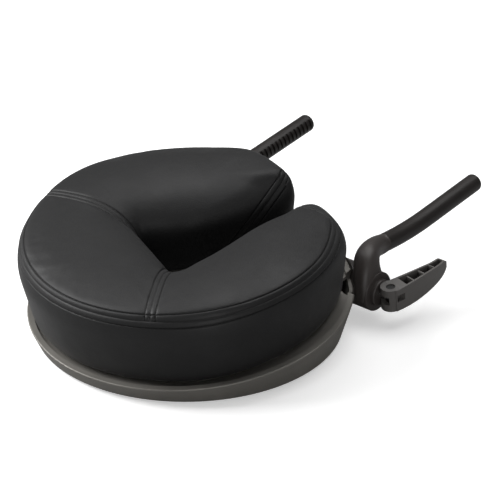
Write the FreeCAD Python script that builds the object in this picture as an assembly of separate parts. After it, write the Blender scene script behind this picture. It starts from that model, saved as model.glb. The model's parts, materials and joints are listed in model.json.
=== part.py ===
"""Face cradle for a massage table: crescent cushion on a tilting platform.

Two arms plug into the table by their round posts.  The platform turns between the arms on a cross
tube, a cam lever clamps it, and the cushion is held on the platform by hook-and-loop strips.

Millimetres.  Everything is drawn level first: origin on the tilt axis midway between the arms,
+X towards the lever side, +Y along the posts towards the table, +Z up.  At the end the whole part
is leaned by LEAN about the tilt axis, so that it stands on its four feet, and is moved so that the
origin is the centre of the bounding box's base.
"""
import FreeCAD, Part
import math
import os

V = FreeCAD.Vector
ORIGIN = V(0, 0, 0)
X_AXIS = V(1, 0, 0)
Y_AXIS = V(0, 1, 0)
Z_AXIS = V(0, 0, 1)
FAR = 400.0                 # longer than any part, for cutting tools
TINY = 0.01                 # edges closer than this to a plane lie in it

# Platform tray
TRAY_R = 175.0              # outer radius of the tray at its lip
TRAY_FLARE = 0.344          # the wall narrows downwards by this much per millimetre
TRAY_Y = -135.0             # tray centre, in front of the tilt axis
LIP_Z = 16.7                # top of the lip above the tilt axis
LEAN = 6.2                  # angle between the lip and the plane of the feet, degrees
TRAY_FLOOR = -16.7          # height of the foot plane under the tray centre
WALL = 3.5                  # moulded wall thickness
DECK_DROP = 4.0             # the deck lies this far below the lip
LIP_WIDTH = 7.5             # width of the flat, round-edged lip
LIP_ROUND = 1.2
DECK_HOLE_R = 70.0          # face opening through the deck
BOSS_R = 9.5                # posts inside the tray, above the feet and the base screws
PLATE_T = 2.5               # base plate
SCREW_R = 2.0
SCREW_LENGTH = 8.0          # in the tray, past the base plate
SCREW_HEAD_T = 1.6
SCREW_CIRCLE_R = 118.0
SCREW_PLACES = tuple((SCREW_CIRCLE_R * math.cos(math.radians(a)), SCREW_CIRCLE_R * math.sin(math.radians(a)))
                     for a in (0, 60, 120, 180, 240, 300))
FOOT_R = 8.0
FOOT_HEIGHT = 4.0
FOOT_ROUND = 1.5
FOOT_PLACES = ((136, -70), (-136, -70), (120, 92), (-120, 92))
RIM_RELIEF_Y = 38.0         # the rim is cut back this far in front of the tilt axis, beyond the hubs
LIP_RELIEF_X = 112.0        # beyond this the lip alone is cut back, above LIP_RELIEF_Z
LIP_RELIEF_Z = 8.0

# Tilt hinge
BARREL_R = 21.8             # round hubs on the tray and flanges on the arms
HUB_END_X = 130.7           # outer end face of each hub
HUB_ROUND = 2.0
ARM_ROOM_R = 44.0           # the cushion is hollowed this far round the far arm
ARM_ROOM_X = 113.0
HUB_CLEARANCE = 0.8         # relief of the elbows and of the cushion round the hubs
TUBE_R = 7.0                # cross tube the platform turns on
TUBE_BORE_R = 4.5           # bore of the cross tube, for the clamp rod
RUNNING_GAP = 0.05          # radial clearance of the hinge and of the cam pin

# Arms and posts
ARM_INNER_X = 131.0
ROD_CLEARANCE = 0.5         # round the clamp rod, in the arms and in the cam head
ARM_OUTER_X = 147.0
POST_X = 120.0
POST_R = 10.2
POST_LEVEL_Z = 20.8         # height of the straight outer part of a post
POST_STRAIGHT_Y = 124.0     # the straight part starts here
POST_TIP_Y = 212.0
POST_BEND_R = 430.0         # gentle bow between the elbow and the straight part
POST_ROOT_Y = 46.0          # the post leaves the elbow here
POST_TIP_ROUND = 4.0
FLANGE_ROUND = 1.2
ELBOW_SECTIONS = (          # centre, heading, half width, half depth and squareness of each section
    ((138.6, -2.5, -4.0), (0.0, 0.0, 1.0), 8.2, 20.0, 0.55),
    ((136.0, -3.0, 17.0), (-0.18, 0.15, 1.0), 10.8, 17.0, 0.6),
    ((129.5, 5.0, 32.5), (-0.3, 0.65, 0.65), 12.8, 13.0, 0.8),
    ((122.5, 24.0, 33.6), (-0.15, 1.0, 0.0), 11.3, 11.3, 1.0),
)
SLOT_COUNT = 15             # latch slots along the inner side of the far post
SLOT_PITCH = 6.6
SLOT_WIDTH = 3.0
SLOT_DEPTH = 1.8
SLOT_LAST_Y = 204.0
SLOT_TILT = 20.0            # the slots face inwards and this much upwards, degrees

# Cam clamp
ROD_R = 4.0
WASHER_R = 15.0
WASHER_T = 5.0
WASHER_ROUND = 1.5
CAM_R = 11.0
CAM_OFFSET = 1.06           # eccentricity, for a throw of 1.5 mm over a quarter turn
CAM_GAP = 0.15
PIN_R = 5.0
LEVER_LENGTH = 82.0         # pin to the tip of the handle
LEVER_HEAD_HEIGHT = 26.0
LEVER_TIP_THICK = 9.0
LEVER_SIDE = (              # side outline of the handle (y, z), from below the head round to its top
    (0.0, -13.0), (20.0, -12.7), (48.0, -10.5), (68.0, -8.0), (79.0, -3.5), (82.5, 2.0), (80.0, 7.0),
    (70.0, 9.8), (52.0, 12.3), (30.0, 14.0), (12.0, 13.8), (0.0, 13.0),
)
LEVER_WALL = 2.2            # walls round the pocket that is open towards the top
LEVER_RIBS = (26.0, 42.0, 58.0)
WINDOW = (10.0, 8.0, 1.2)   # recess on the outer side of the cam head: length, height, wall to the pin
LEVER_ROOT_ANGLE = 20.0     # heading of the handle at the cam, outwards from +Y
LEVER_TIP_ANGLE = -8.0      # heading of the handle at its tip
NUT_R = 11.0
NUT_T = 9.0
NUT_FLANGE_R = 14.0
NUT_FLANGE_T = 2.0

# Cushion
CUSHION_X = -6.0            # cushion centre
CUSHION_Y = -135.0
CUSHION_TURN = -24.0        # the opening is turned this much from +Y
CUSHION_R = 170.0
CUSHION_HEIGHT = 92.0
COVER_T = 1.5
SEAM_HEIGHT = 79.0          # seam between boxing and top panels, above the base
CHEEK_SEAM_ANGLE = 35.0     # radial seams, below the cushion's cross axis
STRIP_T = 1.2               # hook strip, and the same for the loop strip
STRIP_GAP = 0.3
END_FLAT_Y = 151.0          # the lobes end here
GAP_HALF = 11.0             # half the gap between the lobes
GAP_FOOT_Y = 108.0          # the gap opens into the face hole here
HOLE_HALF = 58.0            # half the width of the face hole at the forehead
FOREHEAD_Y = -33.0          # forehead edge of the face hole
TOP_ROUND = 22.0
BASE_ROUND = 18.0
END_INNER_ROUND = 24.0      # corners of the lobes' ends, seen from above
END_OUTER_ROUND = 28.0
HOLE_ROUND = 10.0           # corners of the face hole at the forehead
GAP_FOOT_ROUND = 40.0       # where the hole's sides run into the gap
ROLL = 16.0                 # the top panels roll this far down into the face hole
STRIP_INNER_R = 103.0
STRIP_OUTER_R = 128.0
STRIP_SPAN = 28.0           # degrees of arc
STRIP_STARTS = (-145.0, -60.0, 15.0, 140.0)

DECK_Z = LIP_Z - DECK_DROP
BASE_Z = DECK_Z + 2 * STRIP_T + STRIP_GAP
CAM_PIN_X = ARM_OUTER_X + WASHER_T + CAM_GAP + CAM_R + CAM_OFFSET * math.sin(math.radians(45))


def cylinder_x(radius, x_start, x_end, y=0.0, z=0.0):
    """Cylinder along X between two X positions."""
    return Part.makeCylinder(radius, x_end - x_start, V(x_start, y, z), X_AXIS)


def polygon_prism(points, z_low, z_high):
    """Prism over a closed polygon of (x, y) points."""
    corners = [V(x, y, z_low) for x, y in points]
    face = Part.Face(Part.makePolygon(corners + corners[:1]))
    return face.extrude(V(0, 0, z_high - z_low))


def mirrored(shape):
    """The same shape on the other side of the YZ plane."""
    return shape.mirror(ORIGIN, X_AXIS)


def upright_edges(shape, places, reach=1.0):
    """Edges parallel to Z at the given (x, y) places."""
    found = []
    for edge in shape.Edges:
        box = edge.BoundBox
        if box.ZLength < 1.0 or box.XLength > TINY or box.YLength > TINY:
            continue
        for x, y in places:
            if math.hypot(box.XMin - x, box.YMin - y) < reach:
                found.append(edge)
    return found


def level_edges(shape, z):
    """Edges that lie in the plane at height z."""
    return [e for e in shape.Edges if abs(e.BoundBox.ZMin - z) < TINY and e.BoundBox.ZLength < 2 * TINY]


def edges_at_x(shape, x):
    """Edges that lie in the plane at x."""
    return [e for e in shape.Edges if abs(e.BoundBox.XMin - x) < TINY and e.BoundBox.XLength < 2 * TINY]


# ---------------------------------------------------------------- platform

def foot_plane_tool():
    """Block that fills everything below the foot plane."""
    block = Part.makeBox(2 * FAR, 2 * FAR, FAR, V(-FAR, -FAR, -FAR))
    block.rotate(ORIGIN, X_AXIS, -LEAN)
    block.translate(V(0, TRAY_Y, TRAY_FLOOR))
    return block


def foot_post(x, y, radius, low, high):
    """Cylinder square to the foot plane at a foot's place, from low to high above that plane."""
    post = Part.makeCylinder(radius, high - low, V(x, y, low), Z_AXIS)
    post.rotate(ORIGIN, X_AXIS, -LEAN)
    post.translate(V(0, TRAY_Y, TRAY_FLOOR))
    return post


def tray_cone(inset, low, high):
    """Solid inside the flared tray wall, between two heights."""
    radii = [TRAY_R - inset - TRAY_FLARE * (LIP_Z - z) for z in (low, high)]
    return Part.makeCone(radii[0], radii[1], high - low, V(0, TRAY_Y, low))


def make_tray():
    """Round tray with a lip, a recessed deck and a wall that deepens towards the hinge."""
    low = -60.0             # well below the foot plane, which trims the tray
    centre = V(0, TRAY_Y, low)
    outer = tray_cone(0.0, low, LIP_Z)
    outer = outer.makeFillet(LIP_ROUND, level_edges(outer, LIP_Z))
    recess = Part.makeCylinder(TRAY_R - LIP_WIDTH, 50, V(0, TRAY_Y, DECK_Z))
    under = tray_cone(WALL, low, DECK_Z - WALL)
    inner_wall = Part.makeCylinder(DECK_HOLE_R + WALL, DECK_Z - low, centre)
    tray = outer.cut(recess).cut(under).fuse(inner_wall)
    keep = tray_cone(1.0, low, DECK_Z - 1.0)
    for x, y in FOOT_PLACES + SCREW_PLACES:
        tray = tray.fuse(foot_post(x, y, BOSS_R, PLATE_T, 60.0).common(keep))
    opening = Part.makeCylinder(DECK_HOLE_R, 120, centre)
    tray = tray.cut(opening).cut(foot_plane_tool())
    tray = tray.cut(cylinder_x(TUBE_R + 1.0, -TRAY_R, TRAY_R))
    for x, z in ((LIP_RELIEF_X, LIP_RELIEF_Z), (HUB_END_X, low)):
        relief = Part.makeBox(TRAY_R, 2 * RIM_RELIEF_Y, 100, V(x, -RIM_RELIEF_Y, z))
        tray = tray.cut(relief).cut(mirrored(relief))
    for x, y in SCREW_PLACES:
        tray = tray.cut(foot_post(x, y, SCREW_R, -1.0, PLATE_T + SCREW_LENGTH))
    return tray.removeSplitter()


def make_base_plate():
    """Flat ring that closes the tray from below, set in flush with the foot plane."""
    ring = foot_post(0, 0, FAR, 0, PLATE_T)
    keep = tray_cone(WALL, -80.0, DECK_Z)
    hole = Part.makeCylinder(DECK_HOLE_R + WALL, 120, V(0, TRAY_Y, -80))
    plate = ring.common(keep).cut(hole)
    for x, y in SCREW_PLACES:
        plate = plate.cut(foot_post(x, y, SCREW_R, -5, PLATE_T + 5))
    return plate


def make_base_screws():
    """Pan-head screws that hold the base plate."""
    screws = []
    for x, y in SCREW_PLACES:
        head = foot_post(x, y, 2.0 * SCREW_R, -SCREW_HEAD_T, 0.0)
        screws.append(head.fuse(foot_post(x, y, SCREW_R, -SCREW_HEAD_T, PLATE_T + SCREW_LENGTH)))
    return Part.makeCompound(screws)


def make_hub():
    """Hub on the lever side, shaped to the round tray wall."""
    hub = cylinder_x(BARREL_R, 60, HUB_END_X)
    hub = hub.makeFillet(HUB_ROUND, edges_at_x(hub, HUB_END_X))
    hub = hub.cut(tray_cone(0.0, -80.0, LIP_Z)).cut(Part.makeCylinder(TRAY_R, 50, V(0, TRAY_Y, LIP_Z)))
    return hub.cut(cylinder_x(TUBE_R + RUNNING_GAP, 0, 200))


def make_feet():
    feet = []
    for x, y in FOOT_PLACES:
        foot = Part.makeCylinder(FOOT_R, FOOT_HEIGHT, V(x, y, -FOOT_HEIGHT), Z_AXIS)
        foot = foot.makeFillet(FOOT_ROUND, level_edges(foot, -FOOT_HEIGHT))
        foot.rotate(ORIGIN, X_AXIS, -LEAN)
        foot.translate(V(0, TRAY_Y, TRAY_FLOOR))
        feet.append(foot)
    return Part.makeCompound(feet)


# ---------------------------------------------------------------- arms and posts

def post_turn():
    """Angle of the gentle bow between the elbow and the straight part."""
    return math.asin((POST_STRAIGHT_Y - POST_ROOT_Y) / POST_BEND_R)


def on_bow(angle):
    """Point of the post's centre line, angle radians before the straight part."""
    rise = POST_BEND_R * (1 - math.cos(angle))
    return V(POST_X, POST_STRAIGHT_Y - POST_BEND_R * math.sin(angle), POST_LEVEL_Z + rise)


def make_post():
    turn = post_turn()
    bow = Part.Wire([Part.Arc(on_bow(turn), on_bow(turn / 2), on_bow(0)).toShape()])
    heading = V(0, math.cos(turn), -math.sin(turn))
    section = Part.Wire([Part.Circle(on_bow(turn), heading, POST_R).toShape()])
    bowed = bow.makePipeShell([section], True, True)
    straight = Part.makeCylinder(POST_R, POST_TIP_Y - POST_STRAIGHT_Y, on_bow(0), Y_AXIS)
    tip_rim = [e for e in straight.Edges if abs(e.BoundBox.YMin - POST_TIP_Y) < TINY]
    straight = straight.makeFillet(POST_TIP_ROUND, tip_rim)
    return bowed.fuse(straight).removeSplitter()


def make_slotted_post():
    """Post of the far side, with latch slots cut across its inner side."""
    post = mirrored(make_post())
    for index in range(SLOT_COUNT):
        y = SLOT_LAST_Y - index * SLOT_PITCH
        floor = POST_R - SLOT_DEPTH
        slot = Part.makeBox(POST_R, SLOT_WIDTH, 2 * POST_R, V(floor, -SLOT_WIDTH / 2, -POST_R))
        slot.rotate(ORIGIN, Y_AXIS, -SLOT_TILT)
        slot.translate(V(-POST_X, y, POST_LEVEL_Z + slot_rise(y)))
        post = post.cut(slot)
    return post


def slot_rise(y):
    """Height of the post's centre line above its straight part."""
    run = max(0.0, POST_STRAIGHT_Y - y)
    return POST_BEND_R - math.sqrt(POST_BEND_R ** 2 - run ** 2)


def oval(centre, heading, half_wide, half_deep, squareness):
    """Closed smooth section across a heading; its width runs along X as far as it can."""
    heading = V(heading).normalize()
    side = (X_AXIS - heading * X_AXIS.dot(heading)).normalize()
    deep = heading.cross(side)
    points = []
    for k in range(16):
        angle = math.radians(22.5 * k)
        wide, high = (math.copysign(abs(f(angle)) ** squareness, f(angle)) for f in (math.cos, math.sin))
        points.append(centre + side * (half_wide * wide) + deep * (half_deep * high))
    curve = Part.BSplineCurve()
    curve.interpolate(points, PeriodicFlag=True)
    return Part.Wire([curve.toShape()])


def make_arm():
    """Arm of the lever side: round flange on the tilt axis and an elbow up to the post."""
    flange = cylinder_x(BARREL_R, ARM_INNER_X, ARM_OUTER_X)
    flange = flange.makeFillet(FLANGE_ROUND, edges_at_x(flange, ARM_OUTER_X))
    turn = post_turn()
    sections = [oval(V(*centre), V(*heading), wide, deep, squareness)
                for centre, heading, wide, deep, squareness in ELBOW_SECTIONS]
    sections.append(oval(on_bow(turn), V(0, math.cos(turn), -math.sin(turn)), POST_R, POST_R, 1.0))
    arm = flange.fuse(Part.makeLoft(sections, True, False))
    arm = arm.cut(cylinder_x(BARREL_R + HUB_CLEARANCE, 0, ARM_INNER_X))
    arm = arm.cut(Part.makeBox(FAR, 2 * FAR, 2 * FAR, V(ARM_OUTER_X, -FAR, -FAR)))
    return arm.cut(cylinder_x(ROD_R + ROD_CLEARANCE, 0, FAR)).removeSplitter()


def make_cross_tube():
    tube = cylinder_x(TUBE_R, -ARM_INNER_X, ARM_INNER_X)
    return tube.cut(cylinder_x(TUBE_BORE_R, -ARM_INNER_X, ARM_INNER_X))


# ---------------------------------------------------------------- cam clamp

def make_cam_washer():
    """Dished washer between the flange and the cam."""
    washer = cylinder_x(WASHER_R, ARM_OUTER_X, ARM_OUTER_X + WASHER_T)
    washer = washer.makeFillet(WASHER_ROUND, edges_at_x(washer, ARM_OUTER_X + WASHER_T))
    return washer.cut(cylinder_x(TUBE_BORE_R, 0, FAR))


def make_clamp_rod():
    rod = cylinder_x(ROD_R, -ARM_OUTER_X - NUT_T, CAM_PIN_X)
    pin = Part.makeCylinder(PIN_R, LEVER_HEAD_HEIGHT, V(CAM_PIN_X, 0, -LEVER_HEAD_HEIGHT / 2), Z_AXIS)
    return rod.cut(pin)


def make_cam_pin():
    height = LEVER_HEAD_HEIGHT - 2.0
    return Part.makeCylinder(PIN_R, height, V(CAM_PIN_X, 0, -height / 2), Z_AXIS)


def make_end_nut():
    """Six-sided nut with a round flange, on the far end of the clamp rod."""
    corners = [(NUT_R * math.cos(math.radians(60 * k)), NUT_R * math.sin(math.radians(60 * k)))
               for k in range(6)]
    hexagon = polygon_prism(corners, 0, NUT_T)
    flange = Part.makeCylinder(NUT_FLANGE_R, NUT_FLANGE_T)
    nut = hexagon.fuse(flange)
    nut.rotate(ORIGIN, Y_AXIS, -90)
    nut.translate(V(-ARM_OUTER_X, 0, 0))
    return nut.cut(cylinder_x(ROD_R, -FAR, 0))


def bent_bar(root_half, tip_half, start, length, low, high):
    """Bar along the handle's arc, between two distances from the pin, tapering in thickness."""
    root_angle = math.radians(LEVER_ROOT_ANGLE)
    bend_r = LEVER_LENGTH / math.radians(LEVER_ROOT_ANGLE - LEVER_TIP_ANGLE)
    centre = V(CAM_PIN_X - bend_r * math.cos(root_angle), bend_r * math.sin(root_angle), low)

    def at(run, side):
        angle = root_angle - run / bend_r
        half = root_half + (tip_half - root_half) * run / LEVER_LENGTH
        return centre + V(math.cos(angle), -math.sin(angle), 0) * (bend_r + side * half)

    middle = (start + length) / 2
    edges = [
        Part.Arc(at(start, 1), at(middle, 1), at(length, 1)),
        Part.LineSegment(at(length, 1), at(length, -1)),
        Part.Arc(at(length, -1), at(middle, -1), at(start, -1)),
        Part.LineSegment(at(start, -1), at(start, 1)),
    ]
    return Part.Face(Part.Wire([e.toShape() for e in edges])).extrude(V(0, 0, high - low))


def make_lever():
    """Cam lever: eccentric head round the pin and a curved, tapering handle with a pocket."""
    half = LEVER_HEAD_HEIGHT / 2
    lean_in = math.radians(45)
    head_centre = V(CAM_PIN_X - CAM_OFFSET * math.sin(lean_in), CAM_OFFSET * math.cos(lean_in), -half)
    head = Part.makeCylinder(CAM_R, LEVER_HEAD_HEIGHT, head_centre, Z_AXIS)
    tip_half = LEVER_TIP_THICK / 2
    handle = bent_bar(CAM_R, tip_half, 0.0, LEVER_LENGTH, -half - 3.0, half + 8.0)
    outline = [V(100, y, z) for y, z in LEVER_SIDE]
    curve = Part.BSplineCurve()
    curve.interpolate(outline)
    ends = Part.makePolygon([outline[-1], V(100, -40, half), V(100, -40, -half), outline[0]])
    profile = Part.Face(Part.Wire([curve.toShape()] + ends.Edges))
    handle = handle.common(profile.extrude(V(150, 0, 0)))
    lever = head.fuse(handle)
    pocket = bent_bar(CAM_R - LEVER_WALL, tip_half - LEVER_WALL, CAM_R + 4.0, LEVER_LENGTH - 5.0,
                      -half + 4.0, 60.0)
    for run in LEVER_RIBS:
        pocket = pocket.cut(bent_bar(CAM_R, tip_half, run, run + 1.8, -half, half - 1.0))
    lever = lever.cut(pocket)
    length, height, wall = WINDOW
    window = Part.makeBox(CAM_R, length, height, V(CAM_PIN_X + PIN_R + wall, -length / 4, -height / 4))
    lever = lever.cut(window)
    lever = lever.cut(Part.makeCylinder(PIN_R + RUNNING_GAP, FAR, V(CAM_PIN_X, 0, -half), Z_AXIS))
    return lever.cut(rod_sweep()).removeSplitter()


def rod_sweep():
    """Room in the cam head for the clamp rod over the lever's quarter turn."""
    reach = CAM_R + 8.0
    half = ROD_R + ROD_CLEARANCE
    sector = Part.makeCylinder(reach, 2 * half, V(CAM_PIN_X, 0, -half), Z_AXIS, 90)
    sector.rotate(V(CAM_PIN_X, 0, 0), Z_AXIS, 180)
    towards_arm = Part.makeBox(reach, 2 * half, 2 * half, V(CAM_PIN_X - reach, -half, -half))
    behind = Part.makeBox(2 * half, reach, 2 * half, V(CAM_PIN_X - half, -reach, -half))
    return sector.fuse(towards_arm).fuse(behind)


# ---------------------------------------------------------------- cushion

def cushion_solid(inset):
    """Crescent block, shrunk by inset on every side; local frame with the opening towards +Y."""
    height = CUSHION_HEIGHT - 2 * inset
    body = Part.makeCylinder(CUSHION_R - inset, height, V(0, 0, inset))
    half_hole = [(HOLE_HALF + inset, FOREHEAD_Y - inset), (GAP_HALF + inset, GAP_FOOT_Y),
                 (GAP_HALF + inset, FAR)]
    hole = half_hole + [(-x, y) for x, y in reversed(half_hole)]
    end_y = END_FLAT_Y - inset
    beyond = Part.makeBox(2 * FAR, FAR, FAR, V(-FAR, end_y, -inset))
    body = body.cut(polygon_prism(hole, 0, FAR)).cut(beyond)
    end_x = math.sqrt((CUSHION_R - inset) ** 2 - end_y ** 2)
    rounds = (
        (END_INNER_ROUND - inset, [(s * (GAP_HALF + inset), end_y) for s in (1, -1)]),
        (END_OUTER_ROUND - inset, [(s * end_x, end_y) for s in (1, -1)]),
        (HOLE_ROUND + inset, [(s * (HOLE_HALF + inset), FOREHEAD_Y - inset) for s in (1, -1)]),
        (GAP_FOOT_ROUND + inset, [(s * (GAP_HALF + inset), GAP_FOOT_Y) for s in (1, -1)]),
    )
    for radius, places in rounds:
        body = body.makeFillet(radius, upright_edges(body, places))
    body = body.makeFillet(TOP_ROUND - inset, level_edges(body, inset + height))
    return body.makeFillet(BASE_ROUND - inset, level_edges(body, inset))


def place_cushion(shape):
    """From the cushion's local frame to the level frame."""
    moved = shape.copy()
    moved.rotate(ORIGIN, Z_AXIS, CUSHION_TURN)
    moved.translate(V(CUSHION_X, CUSHION_Y, BASE_Z))
    return moved


def make_cushion():
    """Foam core and the sewn cover: forehead and two cheek panels, boxing and base."""
    core = cushion_solid(COVER_T)
    cover = cushion_solid(0.0).cut(core)
    bottom = Part.makeBox(2 * FAR, 2 * FAR, COVER_T, V(-FAR, -FAR, 0))
    base = cover.common(bottom)
    rest = cover.cut(bottom)
    roll_x, roll_y = GAP_HALF + ROLL, GAP_FOOT_Y - ROLL
    inner = polygon_prism([(HOLE_HALF + ROLL, FOREHEAD_Y - ROLL), (roll_x, roll_y), (-roll_x, roll_y),
                           (-HOLE_HALF - ROLL, FOREHEAD_Y - ROLL)], 0, SEAM_HEIGHT)
    below_seam = Part.makeBox(2 * FAR, 2 * FAR, SEAM_HEIGHT, V(-FAR, -FAR, 0)).cut(inner)
    boxing = rest.common(below_seam)
    top = rest.cut(below_seam)
    seam = math.radians(CHEEK_SEAM_ANGLE)
    reach_x, reach_y = FAR * math.cos(seam), -FAR * math.sin(seam)
    wedge = polygon_prism([(0, 0), (-reach_x, reach_y), (-FAR, -FAR), (FAR, -FAR), (reach_x, reach_y)],
                          0, FAR)
    forehead = top.common(wedge)
    cheeks = top.cut(wedge)
    near_half = Part.makeBox(FAR, 2 * FAR, FAR, V(0, -FAR, 0))
    near = cheeks.common(near_half)
    far_side = cheeks.cut(near_half)
    return {
        "cushion_core": core,
        "cover_base": base,
        "cover_boxing": boxing,
        "cover_forehead": forehead,
        "cover_cheek_near": near,
        "cover_cheek_far": far_side,
    }


def strip_arcs(z_low):
    """Four curved fastener strips, in the cushion's local frame."""
    base = V(0, 0, z_low)
    ring = Part.makeCylinder(STRIP_OUTER_R, STRIP_T, base)
    ring = ring.cut(Part.makeCylinder(STRIP_INNER_R, STRIP_T, base))
    strips = []
    for angle in STRIP_STARTS:
        wedge = Part.makeCylinder(FAR, STRIP_T, base, Z_AXIS, STRIP_SPAN)
        wedge.rotate(ORIGIN, Z_AXIS, angle)
        strips.append(ring.common(wedge))
    return Part.makeCompound(strips)


# ---------------------------------------------------------------- export

def outer_box(shapes):
    """Corners of the box round all the shapes, measured on their meshed surfaces."""
    points = [p for shape in shapes for p in shape.tessellate(0.05)[0]]
    low = V(min(p.x for p in points), min(p.y for p in points), min(p.z for p in points))
    high = V(max(p.x for p in points), max(p.y for p in points), max(p.z for p in points))
    return low, high


def build():
    arm = make_arm()
    hub = make_hub()
    parts = {
        "arm_near": arm,
        "arm_far": mirrored(arm),
        "post_near": make_post(),
        "post_far": make_slotted_post(),
        "cross_tube": make_cross_tube(),
        "cam_washer": make_cam_washer(),
        "clamp_rod": make_clamp_rod(),
        "cam_pin": make_cam_pin(),
        "end_nut": make_end_nut(),
        "cam_lever": make_lever(),
        "tray": make_tray(),
        "base_plate": make_base_plate(),
        "base_screws": make_base_screws(),
        "hub_near": hub,
        "hub_far": mirrored(hub),
        "feet": make_feet(),
        "hook_strips": place_cushion(strip_arcs(-2 * STRIP_T - STRIP_GAP)),
        "loop_strips": place_cushion(strip_arcs(-STRIP_T)),
    }
    hub_room = cylinder_x(BARREL_R + HUB_CLEARANCE, -HUB_END_X - 1.0, HUB_END_X + 1.0)
    arm_room = cylinder_x(ARM_ROOM_R, -HUB_END_X - 20.0, -ARM_ROOM_X)
    for name, shape in make_cushion().items():
        placed = place_cushion(shape).cut(hub_room).cut(arm_room)
        parts[name] = max(placed.Solids, key=lambda solid: solid.Volume)
    for shape in parts.values():
        shape.rotate(ORIGIN, X_AXIS, LEAN)
    low, high = outer_box(parts.values())
    shift = V(-(low.x + high.x) / 2, -(low.y + high.y) / 2, -low.z)
    for shape in parts.values():
        shape.translate(shift)
    return parts, shift


os.makedirs("parts", exist_ok=True)
all_parts, tilt_axis_at = build()
for node, solid in all_parts.items():
    solid.exportStep("parts/" + node + ".step")
print("tilt axis passes through", tilt_axis_at)
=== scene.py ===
"""Looks of the face cradle: the sewn crescent cushion, the moulded parts' finishes, light and camera."""

import json
import math

import bmesh
import bpy
import numpy as np
from mathutils import Matrix, Vector


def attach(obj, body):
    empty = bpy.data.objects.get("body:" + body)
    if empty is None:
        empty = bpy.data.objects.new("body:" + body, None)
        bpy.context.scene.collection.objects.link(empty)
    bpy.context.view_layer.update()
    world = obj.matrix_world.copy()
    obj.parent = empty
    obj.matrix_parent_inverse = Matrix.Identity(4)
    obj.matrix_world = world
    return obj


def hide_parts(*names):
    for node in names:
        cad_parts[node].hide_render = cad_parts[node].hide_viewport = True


MM = 0.001

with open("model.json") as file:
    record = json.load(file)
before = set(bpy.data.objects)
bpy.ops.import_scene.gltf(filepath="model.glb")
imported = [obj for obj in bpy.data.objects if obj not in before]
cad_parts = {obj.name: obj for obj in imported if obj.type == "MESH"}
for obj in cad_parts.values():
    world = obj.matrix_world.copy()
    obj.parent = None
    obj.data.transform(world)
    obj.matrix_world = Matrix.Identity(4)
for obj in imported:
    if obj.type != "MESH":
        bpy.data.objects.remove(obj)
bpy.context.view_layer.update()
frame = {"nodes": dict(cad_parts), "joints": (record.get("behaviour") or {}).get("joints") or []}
joints = {j["name"]: j for j in frame["joints"]}

# Level frame: origin on the tilt axis midway between the arms, +Z square to the tray's lip.
lift_axis = Vector(joints["cushion_lift"]["axis"])
LEAN = math.atan2(-lift_axis.y, lift_axis.z)
LEVEL = Matrix.Translation(joints["platform_tilt"]["pos_m"]) @ Matrix.Rotation(LEAN, 4, "X")

# Cushion, in millimetres, in its own frame: origin at the middle of its base, opening towards +Y, near
# lobe on the +X side.
CUSHION_CENTRE = (-6.0, -135.0, 15.4)    # in the level frame
CUSHION_TURN = math.radians(-24.0)
PLACE = (LEVEL @ Matrix.Translation(Vector(CUSHION_CENTRE) * MM) @ Matrix.Rotation(CUSHION_TURN, 4, "Z")
         @ Matrix.Scale(MM, 4))

OUTER_R = 170.0
LOBE_END_Y = 150.5
LOBE_END_SLOPE = 0.08                    # the lobes' ends lie on a slightly turned line
LOBE_CORNER_R = 18.0
HOLE_HALF = 37.2                         # half width of the face hole at HOLE_AT_Y
HOLE_AT_Y = 18.0
HOLE_NARROWING = 0.36                    # how fast the hole's sides close in towards the gap
HOLE_CORNER_R = 9.0
FOREHEAD_Y = -29.0
GAP_HALF = 7.0
GAP_JOIN_R = 30.0                        # between the hole's sides and the gap's
GAP_OFFSET = 5.0                         # the gap lies this far off the hole's middle line
GAP_OFFSET_Y = (20.0, 150.0)             # where that offset grows
WALL_MEET_R = 32.0                       # corners between the outer wall and the gap's walls

# How far the outer wall stands out from the outline.
WALL_OUT = 3.7
SHOULDER_OUT = 3.5
SHOULDER_ANGLE, SHOULDER_SPREAD = -0.28, 0.33       # radians from the X axis, on both sides
CORNER_OUT = 2.5
CORNER_ANGLE, CORNER_SPREAD = 1.13, 0.22            # the near lobe's outer corner
TUCK_Z, TUCK_RATE, TUCK_EASE = 62.0, 0.18, 6.0      # below this height the wall draws in to the base
ROLL_Z, ROLL_RATE, ROLL_REACH = 55.0, 0.006, 28.0   # and above this one it rolls in to the top

# Height of the crown, and where it rises or drops: side of the cushion, range of X, range of Y, rise.
CROWN_Z = 90.0
SHOULDER_RISE = 2.0
RIM_DROP, RIM_WIDTH = 3.0, 18.0                     # beside the outer outline
LOBE_RISES = (
    (-1.0, (20.0, 80.0), (20.0, 90.0), -1.0),
    (-1.0, (0.0, 25.0), (90.0, 145.0), 4.0),
    (1.0, (0.0, 25.0), (60.0, 135.0), -5.2),
)

# Rounding of the top edge, across and down: on the outer wall, and what the hole and the lobes' ends add.
EDGE_ACROSS, EDGE_DOWN = 12.0, 10.0
HOLE_ACROSS, HOLE_DOWN = 43.0, 35.0
HOLE_BLEND = 20.0                        # half width of the change from the outer edge to the hole's
END_ACROSS, END_DOWN = 10.0, 8.0
END_Y = (100.0, 150.0)                   # where the ends' rounding grows
NEAR_END_SHARE, FAR_END_SHARE = 1.1, 0.3
BASE_EDGE_R = 7.0

# Room that the base leaves for the tray's lip and for the hubs.
TRAY_R = 175.0
TURN_COS, TURN_SIN = math.cos(CUSHION_TURN), math.sin(CUSHION_TURN)
TRAY_AT = (-CUSHION_CENTRE[0] * TURN_COS, CUSHION_CENTRE[0] * TURN_SIN)    # in the cushion's frame
LIP_INSIDE = (-11.0, -8.0)               # where the base rises over the lip, from the lip's outer edge
LIP_LIFT = 2.2
LIFT_FADE_Z = 14.0
HUB_ROOM = 25.2
HUB_EDGE_R = 4.0

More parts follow.
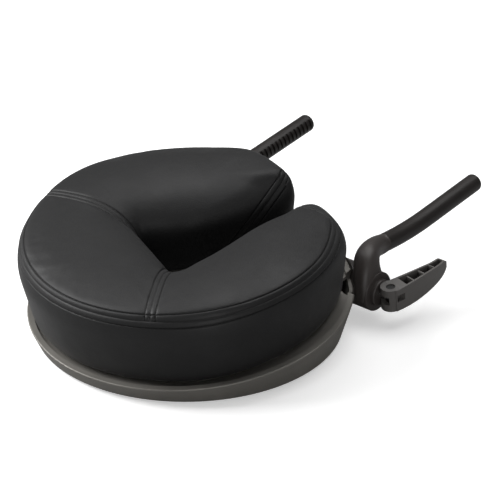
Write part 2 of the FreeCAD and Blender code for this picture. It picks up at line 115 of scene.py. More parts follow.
# Seams: the boxing seam runs round the wall, crosses each lobe's tip and dives down the gap.
SEAM_Z = 80.0
SEAM_CLIMB, SEAM_CLIMB_FROM = 0.7, 2.0   # height that a step inwards from the wall counts for
HOLE_CLEARANCE = 60.0                    # keeps the level stretch off the hole's side
NEAR_TIP_Y, FAR_TIP_Y = 121.0, 130.5
TIP_X = 18.0
TIP_NORMAL = (-0.654, 0.757)             # square to the line that crosses a tip, in |X| and Y
DIVE_Y, DIVE_Z, DIVE_RISE = 112.0, 67.6, 0.976      # where the dive starts: its height over the tip's Y
DIVE_SLOPE, DIVE_STRETCH = 0.776, 1.2
SEAM_CORNER_R = 14.0
CHEEK_SEAM = math.radians(35.0)          # the seams across the top, from the X axis
BASE_BAND = 3.0
NO_SEAM = 99.0                           # distance given where a seam doesn't reach
BOXING_ROWS = (-6.5, 7.0)                # stitch rows below and above the boxing seam
RADIAL_ROWS = (-5.5, 5.5)
BAND_DEPTH = 0.8                         # a sewn band is a shallow valley with a welt on each side
BOXING_BAND = {"middle": -0.5, "width": 7.0, "welts": (3.6, -4.2), "welt": 0.35, "welt_width": 2.2}
RADIAL_BAND = {"middle": 0.0, "width": 8.0, "welts": (2.7, -2.7), "welt": 0.3, "welt_width": 1.6}
SEAM_DEPTH, SEAM_WIDTH = 0.6, 0.8
ROW_DEPTH, ROW_WIDTH = 0.9, 0.7
SEAM_PAINTED_SHADE, PAINTED_SHADE_WIDTH = 0.4, 0.8       # painted shade along a seam, against 1 along a stitch row, and how wide it spreads

STITCH_PITCH = 4.6
STITCH_LENGTH = 0.8 * STITCH_PITCH
STITCH_R = 0.42
STITCH_SINK = 0.1
STITCH_SIDES = 8
STITCH_REACH = 1.5                       # half the stretch of a row that gives a stitch its heading
STITCH_RINGS = ((-0.5, 0.35), (-0.42, 0.8), (-0.2, 1.0), (0.2, 1.0), (0.42, 0.8), (0.5, 0.35))
ROW_REACH = 3.0                          # how far from a boxing row its line is looked for
ROW_START = 2.0                          # the rows across the top stop this short of the boxing seam
SHORTEST_ROW = 12                        # points; shorter lines are scraps

# Mesh of the cushion.
STEP = 4.5                               # cell size before it is refined
GRID_LOW = np.array([-186.0, -186.0, -14.0])
GRID_HIGH = np.array([186.0, 166.0, 106.0])
SETTLE_ROUNDS, SETTLE_SHARE, SETTLE_PULLS = 6, 0.5, 2
SLOPE_REACH, LEAST_SLOPE, LONGEST_MOVE = 0.5, 0.05, 3.0
BAND_HALF, RADIAL_HALF, LINE_HALF = 11.0, 9.0, 1.7  # stretches beside the seams with a finer mesh

# The cover under pressure.
HELD_BOXING, HELD_RADIAL = 3.0, 2.4      # half widths of the sewn stretches that stay put
CLOTH_PRESSURE = 2.5
CLOTH_MASS = 0.3
CLOTH_STRETCH, CLOTH_BENDING = 15.0, 0.5
CLOTH_QUALITY = 5
CLOTH_FRAMES = 20
SWELL_MAX = 5.0


def smooth_step(value, low, high):
    t = np.clip((value - low) / (high - low), 0.0, 1.0)
    return t * t * (3.0 - 2.0 * t)


def round_meet(a, b, radius):
    """Where both solids are: negative inside, with a rounded edge."""
    u = np.maximum(radius + a, 0.0)
    v = np.maximum(radius + b, 0.0)
    return np.minimum(-radius, np.maximum(a, b)) + np.hypot(u, v)


def round_join(a, b, radius):
    return -round_meet(-a, -b, radius)


def outer_field(x, y):
    """Plan distance from the outer outline, negative inside the cushion."""
    return round_meet(np.hypot(x, y) - OUTER_R, y - LOBE_END_Y - LOBE_END_SLOPE * x, LOBE_CORNER_R)


def hole_field(x, y):
    """Plan distance from the face hole and the gap, negative inside the cushion."""
    slope = math.hypot(1.0, HOLE_NARROWING)
    off = np.abs(x + GAP_OFFSET * smooth_step(y, *GAP_OFFSET_Y))
    side = (off - HOLE_HALF + HOLE_NARROWING * (y - HOLE_AT_Y)) / slope
    side = round_join(side, off - GAP_HALF, GAP_JOIN_R)
    return -round_meet(side, FOREHEAD_Y - y, HOLE_CORNER_R)


def shoulder_weight(x, y):
    """1 at the crescent's two broad shoulders, fading to 0 away from them."""
    return np.exp(-((np.arctan2(y, np.abs(x)) - SHOULDER_ANGLE) / SHOULDER_SPREAD) ** 2)


def wall_out(x, y, z):
    """How far the outer wall stands out from the outline."""
    corner = np.exp(-((np.arctan2(y, x) - CORNER_ANGLE) / CORNER_SPREAD) ** 2)
    tuck = np.maximum(TUCK_Z - z, 0.0)
    return (WALL_OUT + SHOULDER_OUT * shoulder_weight(x, y) + CORNER_OUT * corner
            - TUCK_RATE * tuck ** 2 / (tuck + TUCK_EASE)
            - ROLL_RATE * np.clip(z - ROLL_Z, 0.0, ROLL_REACH) ** 2)


def crown_height(x, y, outer):
    """Height of the cushion's top before its edges are rounded."""
    height = CROWN_Z + SHOULDER_RISE * shoulder_weight(x, y)
    for side, x_range, y_range, rise in LOBE_RISES:
        height += rise * (smooth_step(side * x, *x_range) * smooth_step(y, *y_range))
    return height - RIM_DROP * np.exp(-(np.minimum(outer, 0.0) / RIM_WIDTH) ** 2)


def cushion_field(p):
    """Negative inside the cushion.  p is an array of points in the cushion's frame."""
    x, y, true_z = p[..., 0], p[..., 1], p[..., 2]
    lift = LIP_LIFT * smooth_step(np.hypot(x - TRAY_AT[0], y - TRAY_AT[1]) - TRAY_R, *LIP_INSIDE)
    z = true_z - lift * (1.0 - smooth_step(true_z, 0.0, LIFT_FADE_Z))
    outer = outer_field(x, y)
    inner = hole_field(x, y)
    walls = round_meet(outer - wall_out(x, y, z), inner, WALL_MEET_R)
    near_hole = smooth_step(inner - outer, -HOLE_BLEND, HOLE_BLEND)
    at_end = smooth_step(y, *END_Y) * np.where(x > 0.0, NEAR_END_SHARE, FAR_END_SHARE)
    across = EDGE_ACROSS + HOLE_ACROSS * near_hole + END_ACROSS * at_end * (1.0 - near_hole)
    down = EDGE_DOWN + HOLE_DOWN * near_hole + END_DOWN * at_end * (1.0 - near_hole)
    body = down * round_meet(walls / across, (z - crown_height(x, y, outer)) / down, 1.0)
    body = round_meet(body, -z, BASE_EDGE_R)
    level_y = x * TURN_SIN + y * TURN_COS + CUSHION_CENTRE[1]
    hub = HUB_ROOM - np.hypot(level_y, true_z + CUSHION_CENTRE[2])
    return round_meet(body, hub, HUB_EDGE_R)


def surface_net(field, low, step):
    """Closed quad mesh round the negative cells of a sampled field."""
    inside = field < 0
    cells = tuple(n - 1 for n in field.shape)
    total = np.zeros(cells + (3,))
    count = np.zeros(cells)

    def shifted(array, corner):
        return array[tuple(slice(c, c + n) for c, n in zip(corner, cells))]

    # A point in each cell that the surface crosses, at the mean of the crossings on the cell's edges.
    for axis in range(3):
        others = [k for k in range(3) if k != axis]
        for a in (0, 1):
            for b in (0, 1):
                start = [0, 0, 0]
                start[others[0]], start[others[1]] = a, b
                end = list(start)
                end[axis] = 1
                f0, f1 = shifted(field, start), shifted(field, end)
                cross = shifted(inside, start) != shifted(inside, end)
                span = np.where(cross, f0 - f1, 1.0)
                t = np.where(cross, f0 / span, 0.0)
                total[..., axis] += t * cross
                total[..., others[0]] += a * cross
                total[..., others[1]] += b * cross
                count += cross
    used = count > 0
    number = -np.ones(cells, int)
    number[used] = np.arange(used.sum())
    index = np.argwhere(used)
    points = low + step * (index + total[used] / count[used][:, None])
    # A quad round each grid edge that the surface crosses.
    quads = []
    for axis in range(3):
        others = [k for k in range(3) if k != axis]
        first = np.take(inside, range(0, field.shape[axis] - 1), axis)
        second = np.take(inside, range(1, field.shape[axis]), axis)
        for flip, found in ((False, first & ~second), (True, ~first & second)):
            at = np.argwhere(found)
            ring = []
            for a, b in ((1, 1), (0, 1), (0, 0), (1, 0)):
                cell = at.copy()
                cell[:, others[0]] -= a
                cell[:, others[1]] -= b
                ring.append(number[cell[:, 0], cell[:, 1], cell[:, 2]])
            ring = np.stack(ring, 1)
            if flip != (axis == 1):
                ring = ring[:, ::-1]
            quads.append(ring)
    return points, np.concatenate(quads)


def field_slope(p):
    slope = np.zeros_like(p)
    for axis in range(3):
        move = np.zeros(3)
        move[axis] = SLOPE_REACH
        slope[:, axis] = (cushion_field(p + move) - cushion_field(p - move)) / (2 * SLOPE_REACH)
    return slope


def settle(points, quads):
    """Even out the mesh along its surface: draw the points together, then pull them back onto it."""
    links = np.concatenate([quads[:, [k, (k + 1) % 4]] for k in range(4)])
    links = np.concatenate([links, links[:, ::-1]])
    degree = np.bincount(links[:, 0], minlength=len(points))[:, None]
    for _ in range(SETTLE_ROUNDS):
        mean = np.zeros_like(points)
        np.add.at(mean, links[:, 0], points[links[:, 1]])
        points = points + SETTLE_SHARE * (mean / degree - points)
        for _ in range(SETTLE_PULLS):
            slope = field_slope(points)
            size = np.maximum((slope ** 2).sum(1), LEAST_SLOPE)
            away = np.clip(cushion_field(points), -LONGEST_MOVE, LONGEST_MOVE)
            points = points - slope * (away / size)[:, None]
    return points


def new_mesh_object(name, points, faces):
    mesh = bpy.data.meshes.new(name)
    mesh.from_pydata([tuple(p) for p in points], [], [tuple(f) for f in faces])
    mesh.validate()
    obj = bpy.data.objects.new(name, mesh)
    bpy.context.scene.collection.objects.link(obj)
    return obj


def points_of(mesh):
    flat = np.zeros(len(mesh.vertices) * 3, np.float32)
    mesh.vertices.foreach_get("co", flat)
    return flat.reshape(-1, 3).astype(float)


def normals_of(mesh):
    flat = np.zeros(len(mesh.vertices) * 3, np.float32)
    mesh.vertices.foreach_get("normal", flat)
    return flat.reshape(-1, 3).astype(float)


def set_points(mesh, points):
    """Move a mesh's points."""
    mesh.vertices.foreach_set("co", points.astype(np.float32).ravel())
    mesh.update()


# ---------------------------------------------------------------- seams

def boxing_seam_distance(p):
    """Distance along the surface from the boxing seam, positive on the top panels' side."""
    x, y, z = p.T
    outer, inner = outer_field(x, y), hole_field(x, y)
    level = (z - SEAM_Z + SEAM_CLIMB * np.maximum(-outer - SEAM_CLIMB_FROM, 0.0)
             + np.where(inner > outer, HOLE_CLEARANCE, 0.0))
    tip_y = np.where(x > 0.0, NEAR_TIP_Y, FAR_TIP_Y)
    dive_z = DIVE_Z + DIVE_RISE * (tip_y - DIVE_Y)
    beyond = TIP_NORMAL[0] * (np.abs(x) - TIP_X) + TIP_NORMAL[1] * (y - tip_y)
    dive = DIVE_SLOPE * np.maximum(dive_z - z, 0.0)
    across = -(beyond + dive) / np.where(z < dive_z, DIVE_STRETCH, 1.0)
    return round_join(level, across, SEAM_CORNER_R)


def radial_seam_distance(p):
    """Signed distance from the nearer of the two seams across the top, and where it is a seam."""
    x, y, z = p.T
    side = np.abs(x)
    off = side * math.sin(CHEEK_SEAM) + y * math.cos(CHEEK_SEAM)
    along = side * math.cos(CHEEK_SEAM) - y * math.sin(CHEEK_SEAM)
    hole_side = hole_field(x, y) > outer_field(x, y)
    on_top = hole_side | (boxing_seam_distance(p) > 0.0)
    return off, (along > 0.0) & on_top & (z > BASE_BAND)


def ridge(distance, width):
    """1 on a line, fading to 0 on both sides."""
    return np.exp(-(distance / width) ** 2)


def line_distances(points):
    """Distances from the nearest seam and from the nearest stitch row."""
    away = boxing_seam_distance(points)
    off, crosses = radial_seam_distance(points)
    seams = np.minimum(np.abs(away), np.where(crosses, np.abs(off), NO_SEAM))
    rows = [np.abs(away - row) for row in BOXING_ROWS]
    rows += [np.where(crosses, np.abs(off - row), NO_SEAM) for row in RADIAL_ROWS]
    return seams, np.min(rows, axis=0)


def band_depth(distance, middle, width, welts, welt, welt_width):
    """Depth of a sewn band: a wide valley, raised along its two welts."""
    first, second = (ridge(distance - at, welt_width) for at in welts)
    return BAND_DEPTH * ridge(distance - middle, width) - welt * (first + second)


def sew(points, normals):
    """Press the seams and their stitch rows into the cushion."""
    off, crosses = radial_seam_distance(points)
    depth = band_depth(boxing_seam_distance(points), **BOXING_BAND)
    depth += np.where(crosses, band_depth(off, **RADIAL_BAND), 0.0)
    seams, rows = line_distances(points)
    depth += SEAM_DEPTH * ridge(seams, SEAM_WIDTH) + ROW_DEPTH * ridge(rows, ROW_WIDTH)
    return points - normals * depth[:, None]


def trace(mesh, points, normals, values, keep):
    """Lines on the surface where values cross zero: lists of (point, normal)."""
    ends = np.zeros(len(mesh.edges) * 2, np.int32)
    mesh.edges.foreach_get("vertices", ends)
    first, second = ends.reshape(-1, 2).T
    cut = (values[first] < 0.0) != (values[second] < 0.0)
    cut &= keep[first] & keep[second]
    share = np.where(cut, values[first] / np.where(cut, values[first] - values[second], 1.0), 0.0)[:, None]
    places = points[first] * (1.0 - share) + points[second] * share
    facing = normals[first] * (1.0 - share) + normals[second] * share
    loop_edge = np.zeros(len(mesh.loops), np.int32)
    mesh.loops.foreach_get("edge_index", loop_edge)
    sides = np.zeros(len(mesh.polygons), np.int32)
    mesh.polygons.foreach_get("loop_total", sides)
    owner = np.repeat(np.arange(len(sides)), sides)
    hit = cut[loop_edge]
    crossed = {}
    for face, edge in zip(owner[hit].tolist(), loop_edge[hit].tolist()):
        crossed.setdefault(face, []).append(edge)
    # Two cut edges of a face follow each other on a line.
    links = {}
    for pair in crossed.values():
        if len(pair) == 2:
            links.setdefault(pair[0], []).append(pair[1])
            links.setdefault(pair[1], []).append(pair[0])
    # Open lines first, from an end, and then the closed ones.
    lines = []
    left = set(links)
    for wanted in (1, 2):
        for start in sorted(k for k in links if len(links[k]) == wanted):
            if start not in left:
                continue
            chain = [start]
            left.discard(start)
            onward = [k for k in links[start] if k in left]
            while onward:
                chain.append(onward[0])
                left.discard(onward[0])
                onward = [k for k in links[chain[-1]] if k in left]
            lines.append((places[chain], facing[chain]))
    return lines


def capsule():
    """Points and faces of a thread stitch along X, its ends drawn in and closed."""
    points, faces = [], []
    for along, wide in STITCH_RINGS:
        for k in range(STITCH_SIDES):
            angle = 2.0 * math.pi * k / STITCH_SIDES
            points.append((along * STITCH_LENGTH, wide * STITCH_R * math.cos(angle),
                           wide * STITCH_R * math.sin(angle)))
    for ring in range(len(STITCH_RINGS) - 1):
        here, onward = ring * STITCH_SIDES, (ring + 1) * STITCH_SIDES
        for k in range(STITCH_SIDES):
            after = (k + 1) % STITCH_SIDES
            faces.append((here + k, onward + k, onward + after, here + after))
    faces.append(tuple(range(STITCH_SIDES)))
    faces.append(tuple(range(len(points) - 1, len(points) - STITCH_SIDES - 1, -1)))
    return np.array(points), faces


def stitch(lines):
    """One mesh of all the thread stitches that lie along the traced rows."""
    shape, shape_faces = capsule()
    points, faces = [], []
    for places, facing in lines:
        steps = np.linalg.norm(np.diff(places, axis=0), axis=1)
        run = np.concatenate([[0.0], np.cumsum(steps)])
        for at in np.arange(STITCH_PITCH / 2, run[-1] - STITCH_PITCH / 2, STITCH_PITCH):
            here, ahead, behind = (np.array([np.interp(at + d, run, places[:, k]) for k in range(3)])
                                   for d in (0.0, STITCH_REACH, -STITCH_REACH))
            out = np.array([np.interp(at, run, facing[:, k]) for k in range(3)])
            heading = (ahead - behind) / np.linalg.norm(ahead - behind)
            out -= heading * (out @ heading)
            out /= np.linalg.norm(out)
            turn = np.stack([heading, np.cross(out, heading), out])
            faces += [tuple(k + len(points) * len(shape) for k in f) for f in shape_faces]
            points.append(shape @ turn + here - out * STITCH_SINK)
    return new_mesh_object("stitches", np.concatenate(points), faces)


def make_stitches(cushion):
    """Thread along every stitch row of the finished cushion."""
    mesh = cushion.data
    points, normals = points_of(mesh), normals_of(mesh)
    away = boxing_seam_distance(points)
    off, crosses = radial_seam_distance(points)
    lines = []
    for row in BOXING_ROWS:
        lines += trace(mesh, points, normals, away - row, np.abs(away - row) < ROW_REACH)
    for row in RADIAL_ROWS:
        for side in (points[:, 0] > 0.0, points[:, 0] < 0.0):
            lines += trace(mesh, points, normals, off - row, crosses & side & (away > ROW_START))
    return stitch([line for line in lines if len(line[0]) > SHORTEST_ROW])


def inflate(obj, points):
    """Blow the cover up against its seams and its base with the cloth solver."""
    group = obj.vertex_groups.new(name="sewn")
    off, crosses = radial_seam_distance(points)
    held = np.abs(boxing_seam_distance(points)) < HELD_BOXING
    held |= crosses & (np.abs(off) < HELD_RADIAL)
    held |= points[:, 2] < BASE_BAND
    group.add([int(k) for k in np.flatnonzero(held)], 1.0, "REPLACE")
    cloth = obj.modifiers.new("inflate", "CLOTH")
    cloth.settings.quality = CLOTH_QUALITY
    cloth.settings.mass = CLOTH_MASS
    cloth.settings.use_pressure = True
    cloth.settings.uniform_pressure_force = CLOTH_PRESSURE
    cloth.settings.tension_stiffness = CLOTH_STRETCH
    cloth.settings.compression_stiffness = CLOTH_STRETCH
    cloth.settings.bending_stiffness = CLOTH_BENDING
    cloth.settings.effector_weights.gravity = 0.0
    cloth.settings.vertex_group_mass = "sewn"
    cloth.collision_settings.use_collision = False
    cloth.collision_settings.use_self_collision = False
    cloth.point_cache.frame_start = 1
    cloth.point_cache.frame_end = CLOTH_FRAMES
    scene = bpy.context.scene
    for number in range(1, CLOTH_FRAMES + 1):
        scene.frame_set(number)
    shown = obj.evaluated_get(bpy.context.evaluated_depsgraph_get())
    blown = points_of(shown.data)
    obj.modifiers.remove(cloth)
    scene.frame_set(1)
    return blown


def subdivide(cushion, near):
    """Halve the edges that lie in the marked part of the mesh."""
    work = bmesh.new()
    work.from_mesh(cushion.data)
    edges = [e for e in work.edges if near[e.verts[0].index] and near[e.verts[1].index]]
    bmesh.ops.subdivide_edges(work, edges=edges, cuts=1, use_grid_fill=True, smooth=0.0)
    work.to_mesh(cushion.data)
    work.free()


def refine(cushion):
    """One smooth subdivision everywhere, one more in the sewn bands, and one along every line."""
    modifier = cushion.modifiers.new("smooth", "SUBSURF")
    modifier.levels = 1
    modifier.render_levels = 1
    shown = cushion.evaluated_get(bpy.context.evaluated_depsgraph_get())
    mesh = bpy.data.meshes.new_from_object(shown)
    cushion.modifiers.remove(modifier)
    old = cushion.data
    cushion.data = mesh
    bpy.data.meshes.remove(old)
    points = points_of(cushion.data)
    off, crosses = radial_seam_distance(points)
    boxing = np.abs(boxing_seam_distance(points)) < BAND_HALF
    subdivide(cushion, boxing | (crosses & (np.abs(off) < RADIAL_HALF)))
    subdivide(cushion, np.minimum(*line_distances(points_of(cushion.data))) < LINE_HALF)
    cushion.data.name = "cushion"


def make_cushion():
    """Mesh of the whole sewn cushion, in its own frame."""
    counts = np.ceil((GRID_HIGH - GRID_LOW) / STEP).astype(int)
    axes = [GRID_LOW[k] + STEP * np.arange(counts[k]) for k in range(3)]
    grid = np.stack(np.meshgrid(*axes, indexing="ij"), -1)
    points, quads = surface_net(cushion_field(grid), GRID_LOW, STEP)
    points = settle(points, quads)
    cushion = new_mesh_object("cushion", points * MM, quads)
    move = inflate(cushion, points) / MM - points
    far = np.linalg.norm(move, axis=1)
    move *= np.minimum(1.0, SWELL_MAX / np.maximum(far, 1e-6))[:, None]
    points = points + move
    set_points(cushion.data, points)
    refine(cushion)
    smooth = points_of(cushion.data)
    seams, rows = line_distances(smooth)
    set_points(cushion.data, sew(smooth, normals_of(cushion.data)))
    # Painted shade: a point attribute that darkens the vinyl in the seam and stitch-row grooves, where shade
    # falls.
    painted_shade_layer = cushion.data.attributes.new("painted_seam_shade", "FLOAT", "POINT")
    dark = np.maximum(SEAM_PAINTED_SHADE * ridge(seams, PAINTED_SHADE_WIDTH), ridge(rows, PAINTED_SHADE_WIDTH))
    painted_shade_layer.data.foreach_set("value", dark.astype(np.float32))
    return cushion


# ---------------------------------------------------------------- materials

MIX_FACTOR, MIX_FIRST, MIX_SECOND = 0, 6, 7          # the Mix node's inputs when it mixes colours
MIX_RESULT = 2
# Colour of the painted shade in the seam and stitch-row grooves.
PAINTED_SHADE_COLOUR = (0.0008, 0.0008, 0.0008)
FLOOR_BOUNCE = (0.34, 0.34, 0.34)
FLOOR_GLOW = 0.45                        # washes the floor out to the white of a studio sweep


def node_material(name):
    material = bpy.data.materials.new(name)
    material.use_nodes = True
    return material, material.node_tree, material.node_tree.nodes["Principled BSDF"]


def texture(tree, kind, vector, **values):
    node = tree.nodes.new(kind)
    tree.links.new(vector, node.inputs["Vector"])
    for key, value in values.items():
        node.inputs[key].default_value = value
    return node


def ramp(tree, factor, low, high, from_low=0.3, from_high=0.7):
    """Map a factor to the range from low to high; noise keeps mostly between 0.3 and 0.7."""
    node = tree.nodes.new("ShaderNodeMapRange")
    tree.links.new(factor, node.inputs["Value"])
    node.inputs["From Min"].default_value = from_low
    node.inputs["From Max"].default_value = from_high
    node.inputs["To Min"].default_value = low
    node.inputs["To Max"].default_value = high
    return node.outputs["Result"]


def mix_colours(tree, factor, first, second):
    """Mix two colours, each a tuple or another node's output."""
    node = tree.nodes.new("ShaderNodeMix")
    node.data_type = "RGBA"
    tree.links.new(factor, node.inputs[MIX_FACTOR])
    for place, colour in ((MIX_FIRST, first), (MIX_SECOND, second)):
        if isinstance(colour, tuple):
            node.inputs[place].default_value = (*colour, 1.0)
        else:
            tree.links.new(colour, node.inputs[place])
    return node.outputs[MIX_RESULT]


def bump(tree, height, distance, strength=1.0, over=None):
    node = tree.nodes.new("ShaderNodeBump")
    node.inputs["Distance"].default_value = distance
    node.inputs["Strength"].default_value = strength
    tree.links.new(height, node.inputs["Height"])
    if over is not None:
        tree.links.new(over, node.inputs["Normal"])
    return node.outputs["Normal"]


def place_vector(tree, stretch=None):
    where = tree.nodes.new("ShaderNodeTexCoord").outputs["Object"]
    if stretch is None:
        return where
    mapping = tree.nodes.new("ShaderNodeMapping")
    mapping.inputs["Scale"].default_value = stretch
    tree.links.new(where, mapping.inputs["Vector"])
    return mapping.outputs["Vector"]


def connect(tree, shader, colour, rough, normal):
    tree.links.new(colour, shader.inputs["Base Color"])
    tree.links.new(rough, shader.inputs["Roughness"])
    tree.links.new(normal, shader.inputs["Normal"])


def vinyl(name, dark, light, rough):
    """Coated upholstery fabric with a fine pebble grain, with painted shade along its seams and stitch rows.
    """
    material, tree, shader = node_material(name)
    where = place_vector(tree)
    cells = texture(tree, "ShaderNodeTexVoronoi", where, Scale=900.0, Randomness=0.9)
    pores = texture(tree, "ShaderNodeTexNoise", where, Scale=2600.0, Detail=3.0)
    cloud = texture(tree, "ShaderNodeTexNoise", where, Scale=22.0, Detail=4.0)
    creases = texture(tree, "ShaderNodeTexNoise", where, Scale=75.0, Detail=2.0, Distortion=0.6)
    colour = mix_colours(tree, ramp(tree, cloud.outputs["Fac"], 0.0, 1.0), dark, light)
    # Painted shade: the vinyl's colour is drawn towards near black along the seams and stitch rows.
    seam = tree.nodes.new("ShaderNodeAttribute")
    seam.attribute_name = "painted_seam_shade"
    in_painted_shade = ramp(tree, seam.outputs["Fac"], 0.0, 0.85, from_low=0.1, from_high=0.8)
    normal = bump(tree, creases.outputs["Fac"], 0.0006, 0.35)
    normal = bump(tree, cells.outputs["Distance"], 0.00022, 0.5, normal)
    normal = bump(tree, pores.outputs["Fac"], 0.00008, 0.4, normal)
    connect(tree, shader, mix_colours(tree, in_painted_shade, colour, PAINTED_SHADE_COLOUR),
            ramp(tree, cloud.outputs["Fac"], rough + 0.05, rough - 0.05), normal)
    shader.inputs["Specular IOR Level"].default_value = 0.32
    shader.inputs["Sheen Weight"].default_value = 0.05
    shader.inputs["Sheen Roughness"].default_value = 0.4
    return material


def moulded(name, dark, light, rough, grain=1800.0, metallic=0.0):
    """Moulded or coated part with a fine spark-eroded texture."""
    material, tree, shader = node_material(name)
    where = place_vector(tree)
    fine = texture(tree, "ShaderNodeTexNoise", where, Scale=grain, Detail=2.0)
    flow = texture(tree, "ShaderNodeTexNoise", where, Scale=14.0, Detail=5.0, Distortion=0.8)
    colour = mix_colours(tree, ramp(tree, flow.outputs["Fac"], 0.0, 1.0), dark, light)
    normal = bump(tree, flow.outputs["Fac"], 0.0008, 0.12)
    normal = bump(tree, fine.outputs["Fac"], 0.00006, 0.6, normal)
    connect(tree, shader, colour, ramp(tree, flow.outputs["Fac"], rough - 0.05, rough + 0.06), normal)
    shader.inputs["Metallic"].default_value = metallic
    return material


def brushed(name, dark, light, rough):
    """Turned steel with fine marks along the part's width."""
    material, tree, shader = node_material(name)
    across = place_vector(tree, stretch=(1.0, 40.0, 40.0))
    marks = texture(tree, "ShaderNodeTexNoise", across, Scale=60.0, Detail=3.0)
    cloud = texture(tree, "ShaderNodeTexNoise", place_vector(tree), Scale=90.0, Detail=4.0)
    colour = mix_colours(tree, ramp(tree, cloud.outputs["Fac"], 0.0, 1.0), dark, light)
    connect(tree, shader, colour, ramp(tree, marks.outputs["Fac"], rough - 0.06, rough + 0.1),
            bump(tree, marks.outputs["Fac"], 0.00004, 0.4))
    shader.inputs["Metallic"].default_value = 1.0
    return material


def napped(name, dark, light):
    """Hook or loop tape."""
    material, tree, shader = node_material(name)
    where = place_vector(tree)
    loops = texture(tree, "ShaderNodeTexVoronoi", where, Scale=700.0)
    fuzz = texture(tree, "ShaderNodeTexNoise", where, Scale=1540.0, Detail=4.0)
    colour = mix_colours(tree, ramp(tree, fuzz.outputs["Fac"], 0.0, 1.0), dark, light)
    normal = bump(tree, loops.outputs["Distance"], 0.0005, 0.8)
    normal = bump(tree, fuzz.outputs["Fac"], 0.0002, 0.6, normal)
    connect(tree, shader, colour, ramp(tree, fuzz.outputs["Fac"], 0.8, 0.95), normal)
    shader.inputs["Sheen Weight"].default_value = 0.3
    return material


def thread():
    """Twisted polyester sewing thread."""
    material, tree, shader = node_material("sewing_thread")
    twist = texture(tree, "ShaderNodeTexWave", place_vector(tree), Scale=900.0, Distortion=1.0)
    colour = mix_colours(tree, twist.outputs["Fac"], (0.0010, 0.0010, 0.0010), (0.0030, 0.0030, 0.0030))
    connect(tree, shader, colour, ramp(tree, twist.outputs["Fac"], 0.55, 0.7),
            bump(tree, twist.outputs["Fac"], 0.00008, 0.6))
    shader.inputs["Specular IOR Level"].default_value = 0.25
    return material


def floor_material():
    """Pale floor that throws less light back at the part than it shows to the camera."""
    material, tree, shader = node_material("studio_floor")
    cloud = texture(tree, "ShaderNodeTexNoise", place_vector(tree), Scale=1.5, Detail=3.0)
    pale = mix_colours(tree, ramp(tree, cloud.outputs["Fac"], 0.0, 1.0), (0.90, 0.90, 0.90),
                       (0.92, 0.92, 0.92))
    shown = tree.nodes.new("ShaderNodeLightPath").outputs["Is Camera Ray"]
    tree.links.new(mix_colours(tree, shown, FLOOR_BOUNCE, pale), shader.inputs["Base Color"])
    shader.inputs["Emission Color"].default_value = (1.0, 1.0, 1.0, 1.0)
    tree.links.new(ramp(tree, shown, 0.0, FLOOR_GLOW, from_low=0.0, from_high=1.0),
                   shader.inputs["Emission Strength"])
    shader.inputs["Roughness"].default_value = 0.8
    shader.inputs["Specular IOR Level"].default_value = 0.1
    return material


def finishes():
    """Give each CAD node the finish of its material."""
    black = moulded("black_polymer", (0.042, 0.036, 0.034), (0.054, 0.047, 0.044), rough=0.4)
    bronze = moulded("bronze_polymer", (0.19, 0.181, 0.165), (0.232, 0.221, 0.202), rough=0.45, metallic=0.4)
    handle = moulded("lever_polymer", (0.110, 0.104, 0.099), (0.135, 0.128, 0.122), rough=0.4)
    post = moulded("post_coat", (0.013, 0.0105, 0.0095), (0.018, 0.015, 0.0135), rough=0.38, grain=900.0)
    rubber = moulded("foot_rubber", (0.010, 0.010, 0.010), (0.016, 0.016, 0.016), rough=0.7, grain=700.0)
    steel = brushed("plated_steel", (0.50, 0.50, 0.49), (0.62, 0.61, 0.59), rough=0.28)
    dark = brushed("dark_steel", (0.05, 0.05, 0.05), (0.08, 0.08, 0.08), rough=0.32)
    tape = napped("fastener_tape", (0.010, 0.010, 0.010), (0.022, 0.022, 0.022))
    plan = (
        (black, ("arm_near", "arm_far", "cam_washer", "hub_near", "hub_far")),
        (bronze, ("tray", "base_plate")),
        (handle, ("cam_lever",)),
        (post, ("post_near", "post_far")),
        (rubber, ("feet",)),
        (steel, ("cross_tube", "clamp_rod")),
        (dark, ("cam_pin", "end_nut", "base_screws")),
        (tape, ("hook_strips", "loop_strips")),
    )
    for material, nodes in plan:
        for node in nodes:
            for place in frame["nodes"][node].material_slots:
                place.material = material


# ---------------------------------------------------------------- pieces

def put(piece, material):
    """Take a piece from the cushion's frame into the part's, and give it its material."""
    piece.data.transform(PLACE)
    piece.data.materials.append(material)
    piece.data.polygons.foreach_set("use_smooth", [True] * len(piece.data.polygons))
    piece.data.update()


finishes()
cushion = make_cushion()
stitches = make_stitches(cushion)
put(stitches, thread())
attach(stitches, "cushion")
put(cushion, vinyl("black_vinyl", (0.0100, 0.0100, 0.0103), (0.0140, 0.0140, 0.0143), rough=0.5))
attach(cushion, "cushion")
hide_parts("cushion_core", "cover_base", "cover_boxing", "cover_forehead", "cover_cheek_near",
            "cover_cheek_far")

# ---------------------------------------------------------------- floor, light and camera

FLOOR_HALF = 6.0
floor = new_mesh_object("floor", [(-FLOOR_HALF, -FLOOR_HALF, 0), (FLOOR_HALF, -FLOOR_HALF, 0),
                                  (FLOOR_HALF, FLOOR_HALF, 0), (-FLOOR_HALF, FLOOR_HALF, 0)], [(0, 1, 2, 3)])
floor.data.materials.append(floor_material())


def area_light(name, place, aim, size, watts):
    """Soft rectangular light that shines from a place towards its aim."""
    data = bpy.data.lights.new(name, "AREA")
    data.shape = "RECTANGLE"
    data.size, data.size_y = size
    data.energy = watts
    lamp = bpy.data.objects.new(name, data)
    bpy.context.scene.collection.objects.link(lamp)
    lamp.location = place
    lamp.rotation_euler = (Vector(aim) - Vector(place)).to_track_quat("-Z", "Y").to_euler()


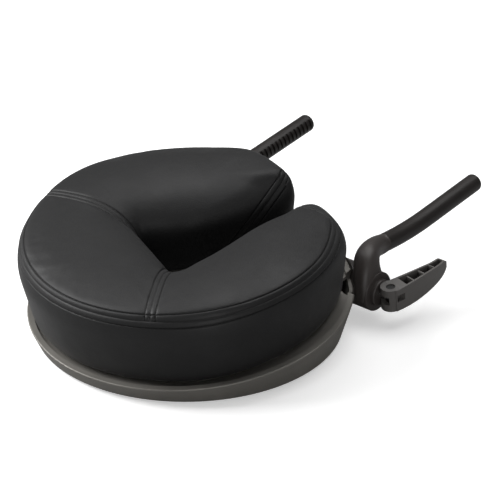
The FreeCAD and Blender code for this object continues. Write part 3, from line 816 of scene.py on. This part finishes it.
area_light("key", place=(-1.3, -0.9, 1.2), aim=(0, -0.05, 0.05), size=(1.3, 1.3), watts=48.0)
area_light("fill", place=(1.4, -1.0, 0.4), aim=(0.05, -0.1, 0.03), size=(0.9, 0.5), watts=5.0)
area_light("overhead", place=(-0.1, 0.5, 1.8), aim=(0, -0.05, 0.05), size=(1.8, 1.4), watts=18.0)

# White surroundings to the camera, weak ones as a light.
WORLD_LIGHT, WORLD_SHOWN = 0.16, 1.0
world = bpy.data.worlds.new("studio")
world.use_nodes = True
sky_tree = world.node_tree
sky = sky_tree.nodes["Background"]
sky.inputs["Color"].default_value = (1.0, 1.0, 1.0, 1.0)
sky_seen = sky_tree.nodes.new("ShaderNodeLightPath").outputs["Is Camera Ray"]
sky_tree.links.new(ramp(sky_tree, sky_seen, WORLD_LIGHT, WORLD_SHOWN, from_low=0.0, from_high=1.0),
                   sky.inputs["Strength"])
bpy.context.scene.world = world

AZIMUTH, ELEVATION = math.radians(40.3), math.radians(28.0)
DISTANCE = 2.934
LENS, SENSOR = 197.856, 36.0             # millimetres
TRAY_RIGHT, TRAY_UP = -0.0631, -0.0725   # the tray's centre from the middle of the view, in metres
TRAY_CENTRE = Vector(joints["platform_tilt"]["pos_m"]) - Vector((0.0, 0.136, 0.027))
back = Vector((math.sin(AZIMUTH) * math.cos(ELEVATION), -math.cos(AZIMUTH) * math.cos(ELEVATION),
               math.sin(ELEVATION)))
right = Vector((math.cos(AZIMUTH), math.sin(AZIMUTH), 0.0))
up = back.cross(right)
camera_data = bpy.data.cameras.new("camera")
camera_data.sensor_width = SENSOR
camera_data.lens = LENS
camera_data.clip_start = 0.1
camera_data.clip_end = 20.0
camera = bpy.data.objects.new("camera", camera_data)
bpy.context.scene.collection.objects.link(camera)
eye = TRAY_CENTRE + back * DISTANCE - right * TRAY_RIGHT - up * TRAY_UP
camera.matrix_world = Matrix.Translation(eye) @ Matrix((right, up, back)).transposed().to_4x4()
bpy.context.scene.camera = camera
bpy.context.scene.view_settings.view_transform = "Standard"
